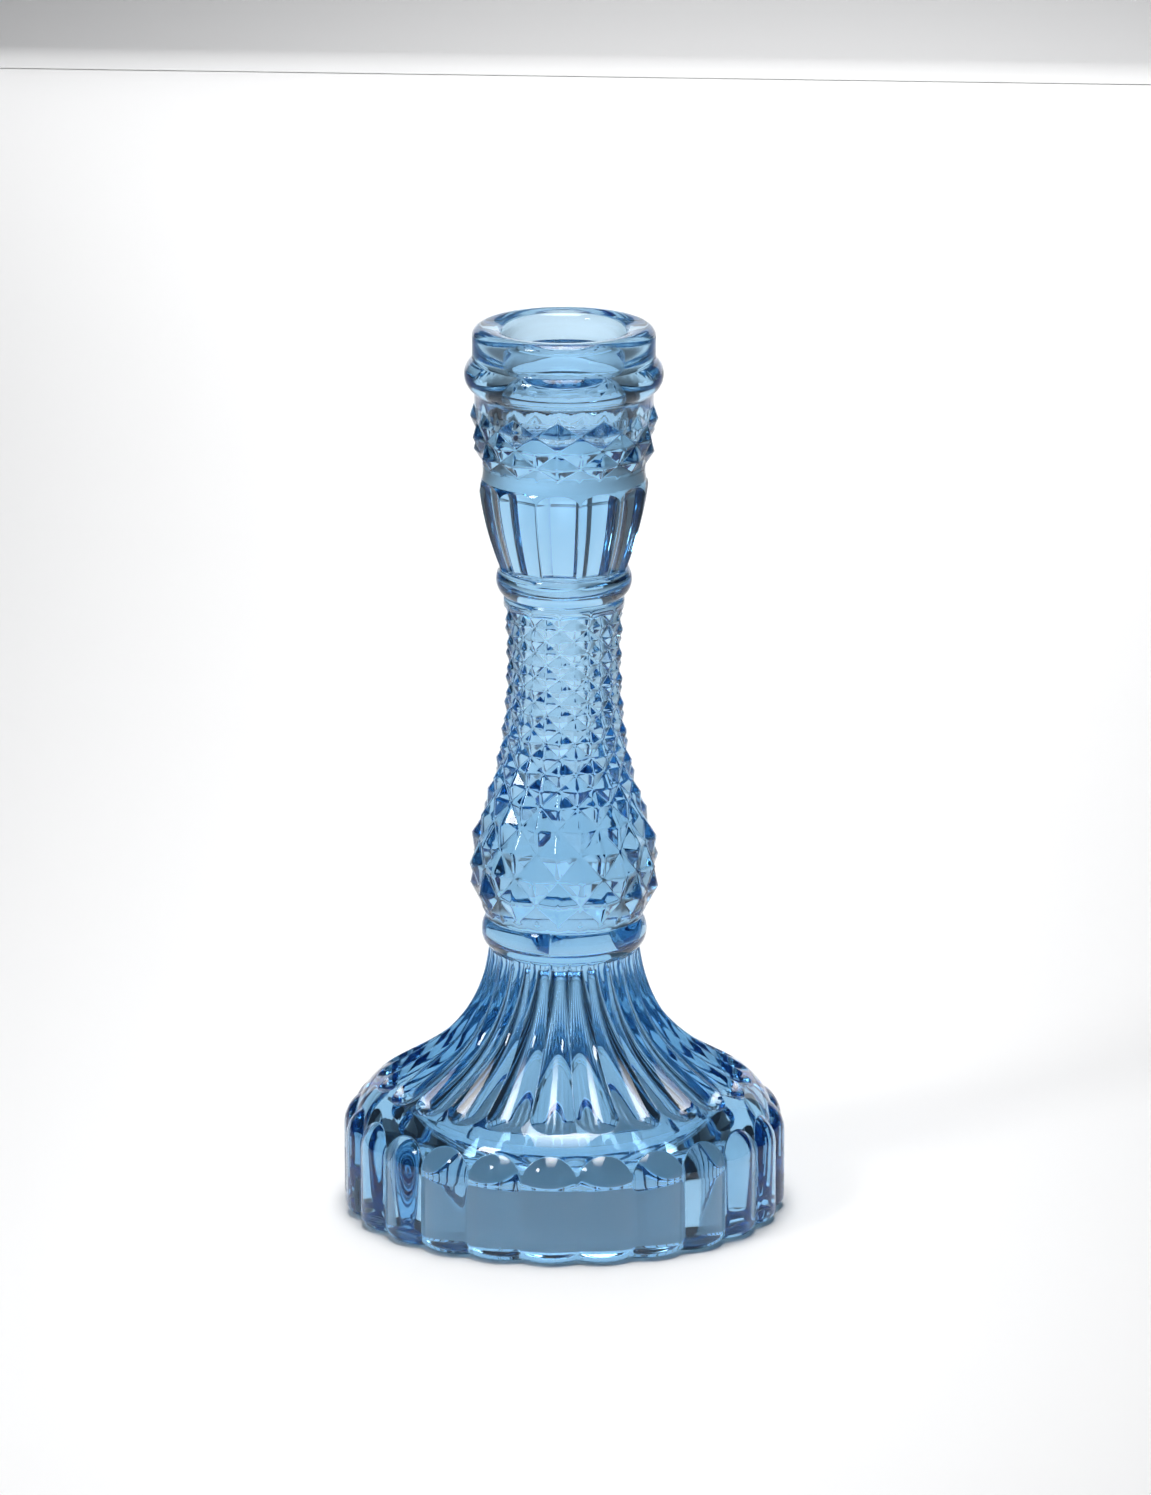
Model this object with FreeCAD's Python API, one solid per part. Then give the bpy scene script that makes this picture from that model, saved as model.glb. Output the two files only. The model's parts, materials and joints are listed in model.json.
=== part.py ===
import FreeCAD, Part
import math
import os

# A pressed-glass candlestick, millimetres, +Z up.
# The origin is the centre of the face that it stands on.
# A lobe of the foot and a flute of the cup are centred on the -Y side.
#
# The glass is one pressing. Each named node is one section of the mould's shape, and each
# section ends on a flat level, so that it meets the next one face to face.

# ---------------------------------------------------------------- driving dimensions

# Heights of the levels where the sections meet, from the top down.
TOTAL_HEIGHT = 167.2
LIP_BOTTOM = 161.1
BEAD_BOTTOM = 155.0
BAND_BOTTOM = 138.7
CUP_BOTTOM = 121.8
UPPER_COLLAR_BOTTOM = 114.6
WAIST_BOTTOM = 79.25
BULB_BOTTOM = 55.6
LOWER_COLLAR_BOTTOM = 49.7
SKIRT_BOTTOM = 21.5

# Candle socket.
BORE_RADIUS = 11.2
BORE_DEPTH = 19.7
BORE_MOUTH_EASE = 1.3
BORE_MOUTH_DROP = 2.0
BORE_FLOOR_CORNER = 1.6
LIP_RADIUS = 16.85
LIP_ROUNDING = 2.0
LIP_DISH = 0.4
BEAD_RADIUS = 18.3
BEAD_CREST = 158.2
NECK_RADIUS = 16.5
GROOVE_EDGE_RADIUS = 15.05
GROOVE_RADIUS = 14.95
GROOVE_HEIGHT = 140.1
BAND_FOOT_RADIUS = 14.9

# Fluted cup under the socket.
CUP_FLUTES = 12
CUP_SHOULDER_RADIUS = 15.75
CUP_SHOULDER_HEIGHT = 136.7
CUP_ROUNDING = (15.5, 137.8)
CUP_BELLY = (14.15, 128.7)
CUP_FOOT_RADIUS = 11.8
CUP_FLUTE_CURVE = 18.0
CUP_FLUTE_CORNER = 2.4
CUP_FLUTE_TOP = 138.6
CUP_FLUTE_FLOOR = 14.6
CUP_FLUTE_BELLY = (13.5, 130.0)
CUP_FLUTE_FOOT = (10.8, 121.3)

# Collars, each a rounded bead over a small fillet.
UPPER_COLLAR_RADIUS = 12.5
UPPER_COLLAR_CREST = 119.5
UPPER_STEP_RADIUS = 11.1
UPPER_STEP_TOP = 116.6
LOWER_COLLAR_RADIUS = 15.3
LOWER_COLLAR_CREST = 52.7
BULB_FOOT_RADIUS = 14.3

# Diamond studs, the same count round the band, the waist and the bulb.
# The upper rows of the waist are all alike, and the lower ones grow towards the bulb.
STUD_COLUMNS = 12
STUD_PITCH = 2.33
EVEN_ROWS = 7
GROWING_ROWS = 7
ROW_GROWTH = 1.039
BULB_LEVELS = [WAIST_BOTTOM, 75.3, 70.8, 66.1, 61.2, 57.4]
WAIST_RISE = 0.85
BULB_RISE = 1.35
SWELL_TOP = 96.0
SWELL_LENGTH = 26.0

# Fluted skirt and lobed foot.
LOBES = 24
SKIRT_TOP_RADIUS = 13.9
SKIRT_FOOT_RADIUS = 35.0
SKIRT_UPPER_POLE = (15.8, 33.4)
SKIRT_LOWER_POLE = (25.0, 29.2)
FLUTE_DEPTH_RATIO = 0.2
FLUTE_END_RADIUS = 31.4
THUMB_ANGLES = (15, 30, 45, 60, 75)
LOBE_CREST_RADIUS = 41.0
LOBE_CURVE = 7.6
LOBE_SHOULDER_HEIGHT = 14.5
LOBE_TOP_CURVE = 6.4
LOBE_BOTTOM_CURVE = 2.0
SHOULDER_CURVE = 11.1
FOOT_CORE_RADIUS = 36.0

# The plunger's hollow: an upright side, then a cone with a curved wall and a small flat crown.
# The points are (radius, height).
HOLLOW_RADIUS = 30.8
HOLLOW_EDGE_EASE = 1.5
HOLLOW_SIDE_TOP = (30.1, 14.2)
HOLLOW_WAIST = (16.0, 25.5)
HOLLOW_CROWN = (4.0, 45.7)

AXIS = FreeCAD.Vector(0, 0, 1)
CENTRE = FreeCAD.Vector(0, 0, 0)


# ---------------------------------------------------------------- outlines and solids

def at(radius, height, angle=0.0):
    """A point at a radius and height, turned by an angle in degrees from the -Y side."""
    turn = math.radians(angle)
    return FreeCAD.Vector(radius * math.sin(turn), -radius * math.cos(turn), height)


def line(start, end):
    return Part.makeLine(at(*start), at(*end))


def arc(start, middle, end):
    return Part.Arc(at(*start), at(*middle), at(*end)).toShape()


def corner(start, point, end):
    """A quarter-round easing at a right-angled corner point, as three points of an arc."""
    centre = (start[0] + end[0] - point[0], start[1] + end[1] - point[1])
    lean = math.sqrt(0.5)
    middle = (centre[0] + (point[0] - centre[0]) * lean, centre[1] + (point[1] - centre[1]) * lean)
    return arc(start, middle, end)


def face_of(edges):
    return Part.Face(Part.Wire(edges))


def turned(edges):
    """A full solid of revolution from a closed outline beside the axis."""
    return face_of(edges).revolve(CENTRE, AXIS, 360)


def wedge(edges, count):
    """One of COUNT equal sectors of a solid of revolution, centred on the -Y side."""
    face = face_of(edges)
    face.rotate(CENTRE, AXIS, -180.0 / count)
    return face.revolve(CENTRE, AXIS, 360.0 / count)


def on_sector_side(face, count):
    """True for a flat face that lies in one of the sector's two side planes."""
    middle = face.CenterOfMass
    half = math.radians(180.0 / count)
    lean = math.atan2(middle.x, -middle.y)
    flat = isinstance(face.Surface, Part.Plane) and abs(face.normalAt(0, 0).z) < 0.01
    return flat and abs(abs(lean) - half) < 0.0001


def ring_of(sector, count):
    """The whole ring made of COUNT turned copies of a sector's outer faces, as one solid."""
    skin = [face for face in sector.Faces if not on_sector_side(face, count)]
    faces = []
    for step in range(count):
        for face in skin:
            copy = face.copy()
            copy.rotate(CENTRE, AXIS, step * 360.0 / count)
            faces.append(copy)
    shell = Part.makeCompound(faces)
    shell.sewShape()
    solid = Part.Solid(shell.Shells[0])
    if solid.Volume < 0:
        solid.reverse()
    return solid.removeSplitter()


def disc(radius, bottom, top):
    return Part.makeCylinder(radius, top - bottom, FreeCAD.Vector(0, 0, bottom), AXIS)


# ---------------------------------------------------------------- diamond studs

def smooth_radius(points):
    """A function that gives the radius at any height of a smooth curve through the points."""
    curve = Part.BSplineCurve()
    curve.interpolate([FreeCAD.Vector(radius, 0, height) for radius, height in points])

    def radius_at(height):
        low = curve.FirstParameter
        high = curve.LastParameter
        rising = curve.value(high).z > curve.value(low).z
        for _ in range(50):
            middle = 0.5 * (low + high)
            if (curve.value(middle).z < height) == rising:
                low = middle
            else:
                high = middle
        return curve.value(low).x

    return radius_at


def studded_solid(levels, first_phase):
    """A closed solid whose side is a lattice of four-sided studs.

    Each level is (height, radius in the valleys, rise of the stud that is centred there).
    The lattice crossings are on the even columns at one level and on the odd ones at the
    next, and each stud's point is halfway between two crossings.
    """
    columns = 2 * STUD_COLUMNS
    step = 360.0 / columns
    rings = []
    for index, (height, valley, rise) in enumerate(levels):
        ring = []
        for column in range(columns):
            is_crossing = (column + index + first_phase) % 2 == 0
            radius = valley if is_crossing else valley + rise
            ring.append(at(radius, height, column * step))
        rings.append(ring)
    faces = []
    for index in range(len(rings) - 1):
        lower = rings[index]
        upper = rings[index + 1]
        for column in range(columns):
            beside = (column + 1) % columns
            if (column + index + first_phase) % 2 == 0:
                corners = ((lower[column], lower[beside], upper[beside]),
                           (lower[column], upper[beside], upper[column]))
            else:
                corners = ((lower[column], lower[beside], upper[column]),
                           (lower[beside], upper[beside], upper[column]))
            for a, b, c in corners:
                faces.append(Part.Face(Part.makePolygon([a, b, c, a])))
    for ring in (rings[0], rings[-1]):
        faces.append(Part.Face(Part.makePolygon(ring + [ring[0]])))
    shell = Part.makeCompound(faces)
    shell.sewShape()
    solid = Part.Solid(shell.Shells[0])
    if solid.Volume < 0:
        solid.reverse()
    return solid


# Outline over the studs' points, from the upper collar down to the lower one.
STEM_OUTLINE = smooth_radius([
    (11.1, 114.6), (10.75, 106.0), (11.1, 95.5), (12.4, 86.0), (14.15, 79.3),
    (15.6, 75.3), (17.1, 70.8), (17.75, 66.1), (17.4, 61.2), (15.3, 57.4)])


def stem_rise(height):
    """How far a stud stands over its valleys: more on the bulb than on the waist."""
    share = min(1.0, max(0.0, (SWELL_TOP - height) / SWELL_LENGTH))
    return WAIST_RISE + (BULB_RISE - WAIST_RISE) * share


def stem_level(height):
    rise = stem_rise(height)
    return (height, STEM_OUTLINE(height) - rise, rise)


# ---------------------------------------------------------------- socket sections

def socket_lip():
    mouth = BORE_RADIUS + BORE_MOUTH_EASE
    crest = LIP_RADIUS - LIP_ROUNDING
    side_top = TOTAL_HEIGHT - LIP_ROUNDING
    dish = TOTAL_HEIGHT - LIP_DISH
    mouth_foot = TOTAL_HEIGHT - BORE_MOUTH_DROP
    edges = [
        line((BORE_RADIUS, LIP_BOTTOM), (LIP_RADIUS, LIP_BOTTOM)),
        line((LIP_RADIUS, LIP_BOTTOM), (LIP_RADIUS, side_top)),
        corner((LIP_RADIUS, side_top), (LIP_RADIUS, TOTAL_HEIGHT), (crest, TOTAL_HEIGHT)),
        arc((crest, TOTAL_HEIGHT), (0.5 * (crest + mouth), TOTAL_HEIGHT - 0.25 * LIP_DISH), (mouth, dish)),
        corner((mouth, dish), (BORE_RADIUS, dish), (BORE_RADIUS, mouth_foot)),
        line((BORE_RADIUS, mouth_foot), (BORE_RADIUS, LIP_BOTTOM)),
    ]
    return turned(edges)


def rim_bead():
    edges = [
        line((BORE_RADIUS, BEAD_BOTTOM), (NECK_RADIUS, BEAD_BOTTOM)),
        arc((NECK_RADIUS, BEAD_BOTTOM), (BEAD_RADIUS, BEAD_CREST), (LIP_RADIUS, LIP_BOTTOM)),
        line((LIP_RADIUS, LIP_BOTTOM), (BORE_RADIUS, LIP_BOTTOM)),
        line((BORE_RADIUS, LIP_BOTTOM), (BORE_RADIUS, BEAD_BOTTOM)),
    ]
    return turned(edges)


def candle_bore():
    floor = TOTAL_HEIGHT - BORE_DEPTH
    flat = BORE_RADIUS - BORE_FLOOR_CORNER
    edges = [
        line((0, floor), (flat, floor)),
        corner((flat, floor), (BORE_RADIUS, floor), (BORE_RADIUS, floor + BORE_FLOOR_CORNER)),
        line((BORE_RADIUS, floor + BORE_FLOOR_CORNER), (BORE_RADIUS, TOTAL_HEIGHT)),
        line((BORE_RADIUS, TOTAL_HEIGHT), (0, TOTAL_HEIGHT)),
        line((0, TOTAL_HEIGHT), (0, floor)),
    ]
    return turned(edges)


# Three rows of studs between the plain neck and the groove.
BAND_LEVELS = [
    (141.5, 15.05, 0.0),
    (143.8, 15.45, 1.15),
    (146.9, 15.85, 1.15),
    (150.05, 16.15, 1.15),
    (152.6, NECK_RADIUS, 0.0),
]


def studded_band():
    studs = studded_solid(BAND_LEVELS, 0)
    neck = disc(NECK_RADIUS, BAND_LEVELS[-1][0], BEAD_BOTTOM)
    band_foot = (BAND_FOOT_RADIUS, BAND_LEVELS[0][0])
    groove = turned([
        line((0, BAND_BOTTOM), (GROOVE_EDGE_RADIUS, BAND_BOTTOM)),
        arc((GROOVE_EDGE_RADIUS, BAND_BOTTOM), (GROOVE_RADIUS, GROOVE_HEIGHT), band_foot),
        line(band_foot, (0, BAND_LEVELS[0][0])),
        line((0, BAND_LEVELS[0][0]), (0, BAND_BOTTOM)),
    ])
    return studs.fuse([neck, groove]).cut(candle_bore())


# ---------------------------------------------------------------- fluted cup

def cup_outline():
    return [
        line((0, CUP_BOTTOM), (CUP_FOOT_RADIUS, CUP_BOTTOM)),
        arc((CUP_FOOT_RADIUS, CUP_BOTTOM), CUP_BELLY, (CUP_SHOULDER_RADIUS, CUP_SHOULDER_HEIGHT)),
        arc((CUP_SHOULDER_RADIUS, CUP_SHOULDER_HEIGHT), CUP_ROUNDING, (GROOVE_EDGE_RADIUS, BAND_BOTTOM)),
        line((GROOVE_EDGE_RADIUS, BAND_BOTTOM), (0, BAND_BOTTOM)),
        line((0, BAND_BOTTOM), (0, CUP_BOTTOM)),
    ]


def cup_flute():
    """The round-backed cutter of one flute. It follows the belly and its end has a rounded corner."""
    back = CUP_FLUTE_FLOOR + CUP_FLUTE_CURVE
    foot = (back - CUP_FLUTE_FOOT[0], CUP_FLUTE_FOOT[1])
    belly = (back - CUP_FLUTE_BELLY[0], CUP_FLUTE_BELLY[1])
    turn = (CUP_FLUTE_CURVE, CUP_FLUTE_TOP - CUP_FLUTE_CORNER)
    end = (CUP_FLUTE_CURVE - CUP_FLUTE_CORNER, CUP_FLUTE_TOP)
    edges = [
        line((0, foot[1]), foot),
        arc(foot, belly, turn),
        corner(turn, (CUP_FLUTE_CURVE, CUP_FLUTE_TOP), end),
        line(end, (0, CUP_FLUTE_TOP)),
        line((0, CUP_FLUTE_TOP), (0, foot[1])),
    ]
    cutter = turned(edges)
    cutter.translate(at(back, 0))
    return cutter


def fluted_cup():
    sector = wedge(cup_outline(), CUP_FLUTES).cut(cup_flute())
    return ring_of(sector, CUP_FLUTES)


# ---------------------------------------------------------------- collars

def upper_collar():
    step = (UPPER_STEP_RADIUS, UPPER_STEP_TOP)
    edges = [
        line((0, UPPER_COLLAR_BOTTOM), (UPPER_STEP_RADIUS, UPPER_COLLAR_BOTTOM)),
        line((UPPER_STEP_RADIUS, UPPER_COLLAR_BOTTOM), step),
        arc(step, (UPPER_COLLAR_RADIUS, UPPER_COLLAR_CREST), (CUP_FOOT_RADIUS, CUP_BOTTOM)),
        line((CUP_FOOT_RADIUS, CUP_BOTTOM), (0, CUP_BOTTOM)),
        line((0, CUP_BOTTOM), (0, UPPER_COLLAR_BOTTOM)),
    ]
    return turned(edges)


def lower_collar():
    foot = (SKIRT_TOP_RADIUS, LOWER_COLLAR_BOTTOM)
    top = (BULB_FOOT_RADIUS, BULB_BOTTOM)
    edges = [
        line((0, LOWER_COLLAR_BOTTOM), foot),
        arc(foot, (LOWER_COLLAR_RADIUS, LOWER_COLLAR_CREST), top),
        line(top, (0, BULB_BOTTOM)),
        line((0, BULB_BOTTOM), (0, LOWER_COLLAR_BOTTOM)),
    ]
    return turned(edges)


# ---------------------------------------------------------------- diamond stem

def diamond_waist():
    pitches = [STUD_PITCH] * EVEN_ROWS
    pitches += [STUD_PITCH * ROW_GROWTH ** (row + 1) for row in range(GROWING_ROWS)]
    fit = (UPPER_COLLAR_BOTTOM - WAIST_BOTTOM) / sum(pitches)
    heights = [WAIST_BOTTOM]
    for pitch in reversed(pitches):
        heights.append(heights[-1] + pitch * fit)
    return studded_solid([stem_level(height) for height in heights], len(BULB_LEVELS) - 1)


def diamond_bulb():
    levels = [stem_level(height) for height in reversed(BULB_LEVELS)]
    foot_height = BULB_LEVELS[-1]
    foot_radius = STEM_OUTLINE(foot_height)
    levels[0] = (foot_height, foot_radius, 0.0)
    studs = studded_solid(levels, 0)
    neck = Part.makeCone(BULB_FOOT_RADIUS, foot_radius, foot_height - BULB_BOTTOM,
                         FreeCAD.Vector(0, 0, BULB_BOTTOM))
    return studs.fuse(neck)


# ---------------------------------------------------------------- fluted skirt

def shoulder_radius(height):
    """The smooth shoulder's radius: a round arc that is upright where the lobes begin."""
    cusp = cusp_radius()
    rise = height - LOBE_SHOULDER_HEIGHT
    return cusp - SHOULDER_CURVE + math.sqrt(SHOULDER_CURVE ** 2 - rise ** 2)


def shoulder_height(radius):
    reach = radius - cusp_radius() + SHOULDER_CURVE
    return LOBE_SHOULDER_HEIGHT + math.sqrt(SHOULDER_CURVE ** 2 - reach ** 2)


def cusp_radius():
    """The radius of the line where two lobes meet."""
    half = math.radians(180.0 / LOBES)
    reach = LOBE_CREST_RADIUS - LOBE_CURVE
    return reach * math.cos(half) + math.sqrt(LOBE_CURVE ** 2 - (reach * math.sin(half)) ** 2)


# The skirt's ridge line is a curve with four poles. It ends on top of the smooth shoulder.
SKIRT_FOOT_HEIGHT = shoulder_height(SKIRT_FOOT_RADIUS)
SKIRT_CURVE = [
    (SKIRT_TOP_RADIUS, LOWER_COLLAR_BOTTOM),
    SKIRT_UPPER_POLE,
    SKIRT_LOWER_POLE,
    (SKIRT_FOOT_RADIUS, SKIRT_FOOT_HEIGHT),
]


def skirt_point(share):
    """A point of the skirt's ridge line and its outward direction, for a share from 0 to 1."""
    rest = 1.0 - share
    weights = (rest ** 3, 3 * rest ** 2 * share, 3 * rest * share ** 2, share ** 3)
    radius = sum(w * p[0] for w, p in zip(weights, SKIRT_CURVE))
    height = sum(w * p[1] for w, p in zip(weights, SKIRT_CURVE))
    slopes = (3 * rest ** 2, 6 * rest * share, 3 * share ** 2)
    across = sum(s * (SKIRT_CURVE[i + 1][0] - SKIRT_CURVE[i][0]) for i, s in enumerate(slopes))
    down = sum(s * (SKIRT_CURVE[i + 1][1] - SKIRT_CURVE[i][1]) for i, s in enumerate(slopes))
    size = math.hypot(across, down)
    return radius, height, -down / size, across / size


def skirt_outline():
    curve = Part.BezierCurve()
    curve.setPoles([at(*point) for point in SKIRT_CURVE])
    edge_radius = shoulder_radius(SKIRT_BOTTOM)
    middle_height = 0.5 * (SKIRT_BOTTOM + SKIRT_FOOT_HEIGHT)
    return [
        line((0, SKIRT_BOTTOM), (edge_radius, SKIRT_BOTTOM)),
        arc((edge_radius, SKIRT_BOTTOM), (shoulder_radius(middle_height), middle_height),
            (SKIRT_FOOT_RADIUS, SKIRT_FOOT_HEIGHT)),
        curve.toShape(),
        line((SKIRT_TOP_RADIUS, LOWER_COLLAR_BOTTOM), (0, LOWER_COLLAR_BOTTOM)),
        line((0, LOWER_COLLAR_BOTTOM), (0, SKIRT_BOTTOM)),
    ]


def flute_section(share):
    """Centre, radius and direction of the flute cutter's round section at a share of the skirt."""
    radius, height, out_r, out_z = skirt_point(share)
    width = 2.0 * math.pi * radius / LOBES
    depth = width * FLUTE_DEPTH_RATIO
    curve = (0.25 * width ** 2 + depth ** 2) / (2.0 * depth)
    centre = at(radius + out_r * (curve - depth), height + out_z * (curve - depth))
    along = FreeCAD.Vector(0, -out_z, -out_r)
    return centre, curve, along


def share_at_radius(radius):
    low = 0.0
    high = 1.0
    for _ in range(40):
        middle = 0.5 * (low + high)
        if skirt_point(middle)[0] < radius:
            low = middle
        else:
            high = middle
    return low


def skirt_flute():
    """The cutter of one flute: round sections that grow down the skirt, then a round thumb end."""
    last = share_at_radius(FLUTE_END_RADIUS)
    sections = 6
    rings = []
    for index in range(sections + 1):
        centre, curve, along = flute_section(last * index / sections)
        if index == 0:
            lead = centre - along * 2.0
            rings.append(Part.Wire(Part.makeCircle(curve, lead, along)))
        rings.append(Part.Wire(Part.makeCircle(curve, centre, along)))
    for angle in THUMB_ANGLES:
        turn = math.radians(angle)
        ahead = centre + along * (curve * math.sin(turn))
        rings.append(Part.Wire(Part.makeCircle(curve * math.cos(turn), ahead, along)))
    return Part.makeLoft(rings, True, False)


def underside_hollow():
    """The hollow that the plunger leaves under the foot."""
    ease = HOLLOW_EDGE_EASE
    mouth = HOLLOW_RADIUS + ease
    height = HOLLOW_CROWN[1]
    edges = [
        line((0, -1), (mouth, -1)),
        line((mouth, -1), (mouth, 0)),
        corner((mouth, 0), (HOLLOW_RADIUS, 0), (HOLLOW_RADIUS, ease)),
        line((HOLLOW_RADIUS, ease), HOLLOW_SIDE_TOP),
        arc(HOLLOW_SIDE_TOP, HOLLOW_WAIST, HOLLOW_CROWN),
        line(HOLLOW_CROWN, (0, height)),
        line((0, height), (0, -1)),
    ]
    return turned(edges)


def fluted_skirt():
    sector = wedge(skirt_outline(), LOBES).cut(skirt_flute())
    return ring_of(sector, LOBES).cut(underside_hollow())


# ---------------------------------------------------------------- lobed foot

def lobe():
    """One upright round lobe, rounded over at its top and bottom edges."""
    top = LOBE_SHOULDER_HEIGHT
    edges = [
        line((0, 0), (LOBE_CURVE - LOBE_BOTTOM_CURVE, 0)),
        corner((LOBE_CURVE - LOBE_BOTTOM_CURVE, 0), (LOBE_CURVE, 0), (LOBE_CURVE, LOBE_BOTTOM_CURVE)),
        line((LOBE_CURVE, LOBE_BOTTOM_CURVE), (LOBE_CURVE, top)),
        corner((LOBE_CURVE, top), (LOBE_CURVE, top + LOBE_TOP_CURVE),
               (LOBE_CURVE - LOBE_TOP_CURVE, top + LOBE_TOP_CURVE)),
        line((LOBE_CURVE - LOBE_TOP_CURVE, top + LOBE_TOP_CURVE), (0, top + LOBE_TOP_CURVE)),
        line((0, top + LOBE_TOP_CURVE), (0, 0)),
    ]
    shape = turned(edges)
    shape.translate(at(LOBE_CREST_RADIUS - LOBE_CURVE, 0))
    return shape


def foot_core_outline():
    edge_radius = shoulder_radius(SKIRT_BOTTOM)
    middle_height = 0.5 * (SKIRT_BOTTOM + LOBE_SHOULDER_HEIGHT)
    return [
        line((0, 0), (FOOT_CORE_RADIUS, 0)),
        line((FOOT_CORE_RADIUS, 0), (FOOT_CORE_RADIUS, LOBE_SHOULDER_HEIGHT)),
        line((FOOT_CORE_RADIUS, LOBE_SHOULDER_HEIGHT), (cusp_radius(), LOBE_SHOULDER_HEIGHT)),
        arc((cusp_radius(), LOBE_SHOULDER_HEIGHT), (shoulder_radius(middle_height), middle_height),
            (edge_radius, SKIRT_BOTTOM)),
        line((edge_radius, SKIRT_BOTTOM), (0, SKIRT_BOTTOM)),
        line((0, SKIRT_BOTTOM), (0, 0)),
    ]


def lobed_foot():
    big = LOBE_CREST_RADIUS + 5.0
    bounds = wedge([
        line((0, 0), (big, 0)),
        line((big, 0), (big, SKIRT_BOTTOM)),
        line((big, SKIRT_BOTTOM), (0, SKIRT_BOTTOM)),
        line((0, SKIRT_BOTTOM), (0, 0)),
    ], LOBES)
    sector = wedge(foot_core_outline(), LOBES).fuse(lobe().common(bounds)).removeSplitter()
    return ring_of(sector, LOBES).cut(underside_hollow())


# ---------------------------------------------------------------- write the sections

SECTIONS = {
    "socket_lip": socket_lip,
    "rim_bead": rim_bead,
    "studded_band": studded_band,
    "fluted_cup": fluted_cup,
    "upper_collar": upper_collar,
    "diamond_waist": diamond_waist,
    "diamond_bulb": diamond_bulb,
    "lower_collar": lower_collar,
    "fluted_skirt": fluted_skirt,
    "lobed_foot": lobed_foot,
}

os.makedirs("parts", exist_ok=True)
for name, make in SECTIONS.items():
    shape = make()
    if len(shape.Solids) != 1 or not shape.isValid():
        raise RuntimeError(name + " isn't one valid solid")
    solid = shape.Solids[0]
    solid.exportStep("parts/" + name + ".step")
    box = solid.BoundBox
    print(name, "faces", len(solid.Faces), "z", round(box.ZMin, 2), round(box.ZMax, 2),
          "radius", round(box.XMax, 2), "volume", round(solid.Volume, 1))
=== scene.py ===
import json
import math

import bpy
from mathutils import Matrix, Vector


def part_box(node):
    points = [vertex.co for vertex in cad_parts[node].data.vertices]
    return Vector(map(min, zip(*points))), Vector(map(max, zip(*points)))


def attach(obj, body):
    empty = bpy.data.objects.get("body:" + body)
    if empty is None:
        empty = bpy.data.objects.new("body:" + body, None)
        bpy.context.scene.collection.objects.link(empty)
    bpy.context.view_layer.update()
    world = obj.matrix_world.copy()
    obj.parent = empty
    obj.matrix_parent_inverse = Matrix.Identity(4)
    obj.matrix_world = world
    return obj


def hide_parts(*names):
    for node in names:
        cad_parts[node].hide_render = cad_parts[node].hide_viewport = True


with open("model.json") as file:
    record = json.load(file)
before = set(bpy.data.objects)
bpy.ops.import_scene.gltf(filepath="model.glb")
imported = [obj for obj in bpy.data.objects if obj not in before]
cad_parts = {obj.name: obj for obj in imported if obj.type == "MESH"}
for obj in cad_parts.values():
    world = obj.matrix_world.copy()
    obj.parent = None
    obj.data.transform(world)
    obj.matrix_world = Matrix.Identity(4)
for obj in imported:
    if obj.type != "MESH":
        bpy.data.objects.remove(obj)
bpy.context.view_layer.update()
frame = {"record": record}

# The candlestick is one pressing of clear blue glass, so one closed skin stands for all its
# sections. The skin is built ring by ring, from the crown of the hollow under the foot, over
# the outside, to the floor of the candle socket. Lengths in the shape code are millimetres.

MM = 0.001
ROOT = "root"
SECTIONS = ["lobed_foot", "fluted_skirt", "lower_collar", "diamond_bulb", "diamond_waist",
            "upper_collar", "fluted_cup", "studded_band", "rim_bead", "socket_lip"]


def bottom_of(node):
    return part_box(node)[0][2] / MM


def top_of(node):
    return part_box(node)[1][2] / MM


def reach_of(node):
    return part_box(node)[1][0] / MM


# Levels and radii that the frame gives.
SKIRT_TOP = top_of("fluted_skirt")
BULB_BOTTOM = bottom_of("diamond_bulb")
WAIST_BOTTOM = bottom_of("diamond_waist")
WAIST_TOP = top_of("diamond_waist")
CUP_BOTTOM = bottom_of("fluted_cup")
BAND_BOTTOM = bottom_of("studded_band")
BEAD_BOTTOM = bottom_of("rim_bead")
LIP_BOTTOM = bottom_of("socket_lip")
TOTAL_HEIGHT = top_of("socket_lip")
LOBE_CREST_RADIUS = reach_of("lobed_foot")
LIP_RADIUS = reach_of("socket_lip")
BORE_MOUNT = next(m for m in frame["record"]["mounts"] if m["name"] == "candle_socket")
BORE_RADIUS = BORE_MOUNT["dims"]["r_mm"]

# Socket and cup.
BORE_DEPTH = 19.7
FLOOR_CORNER = 1.6
MOUTH_EASE = 1.3
MOUTH_DROP = 2.0
LIP_ROUNDING = 2.0
LIP_DISH = 0.4
FLOOR_CENTRE_RADIUS = 1.2
BEAD_RADIUS = 18.3
BEAD_CREST = 158.2
NECK_RADIUS = 16.5
GROOVE_RADIUS = 15.0
GROOVE_CURVE = 0.05
GROOVE_HEIGHT = 140.1
GROOVE_TOP = 141.35
CUP_FLUTES = 12
CUP_FLUTE_END = 2.3
CUP_FLUTE_DEPTH_RATIO = 0.07
CUP_FOOT_RADIUS = 11.8
CUP_BELLY = (14.15, 128.7)
CUP_SHOULDER = (15.75, 136.7)
CUP_ROUNDING = (15.5, 137.8)

# Collars. The upper one stands on a small step.
UPPER_COLLAR_RADIUS = 12.5
UPPER_COLLAR_CREST = 119.5
UPPER_STEP_RADIUS = 11.1
UPPER_STEP_FOOT_RADIUS = 11.15
UPPER_STEP_TOP = 116.6
LOWER_COLLAR_RADIUS = 15.3
LOWER_COLLAR_CREST = 52.7

# Stem. Half of the columns hold studs' points and half hold crossings, by turns.
STUD_COLUMNS = 24
BULB_FOOT_RADIUS = 14.3
BULB_NECK_RADIUS = 15.2

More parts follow.
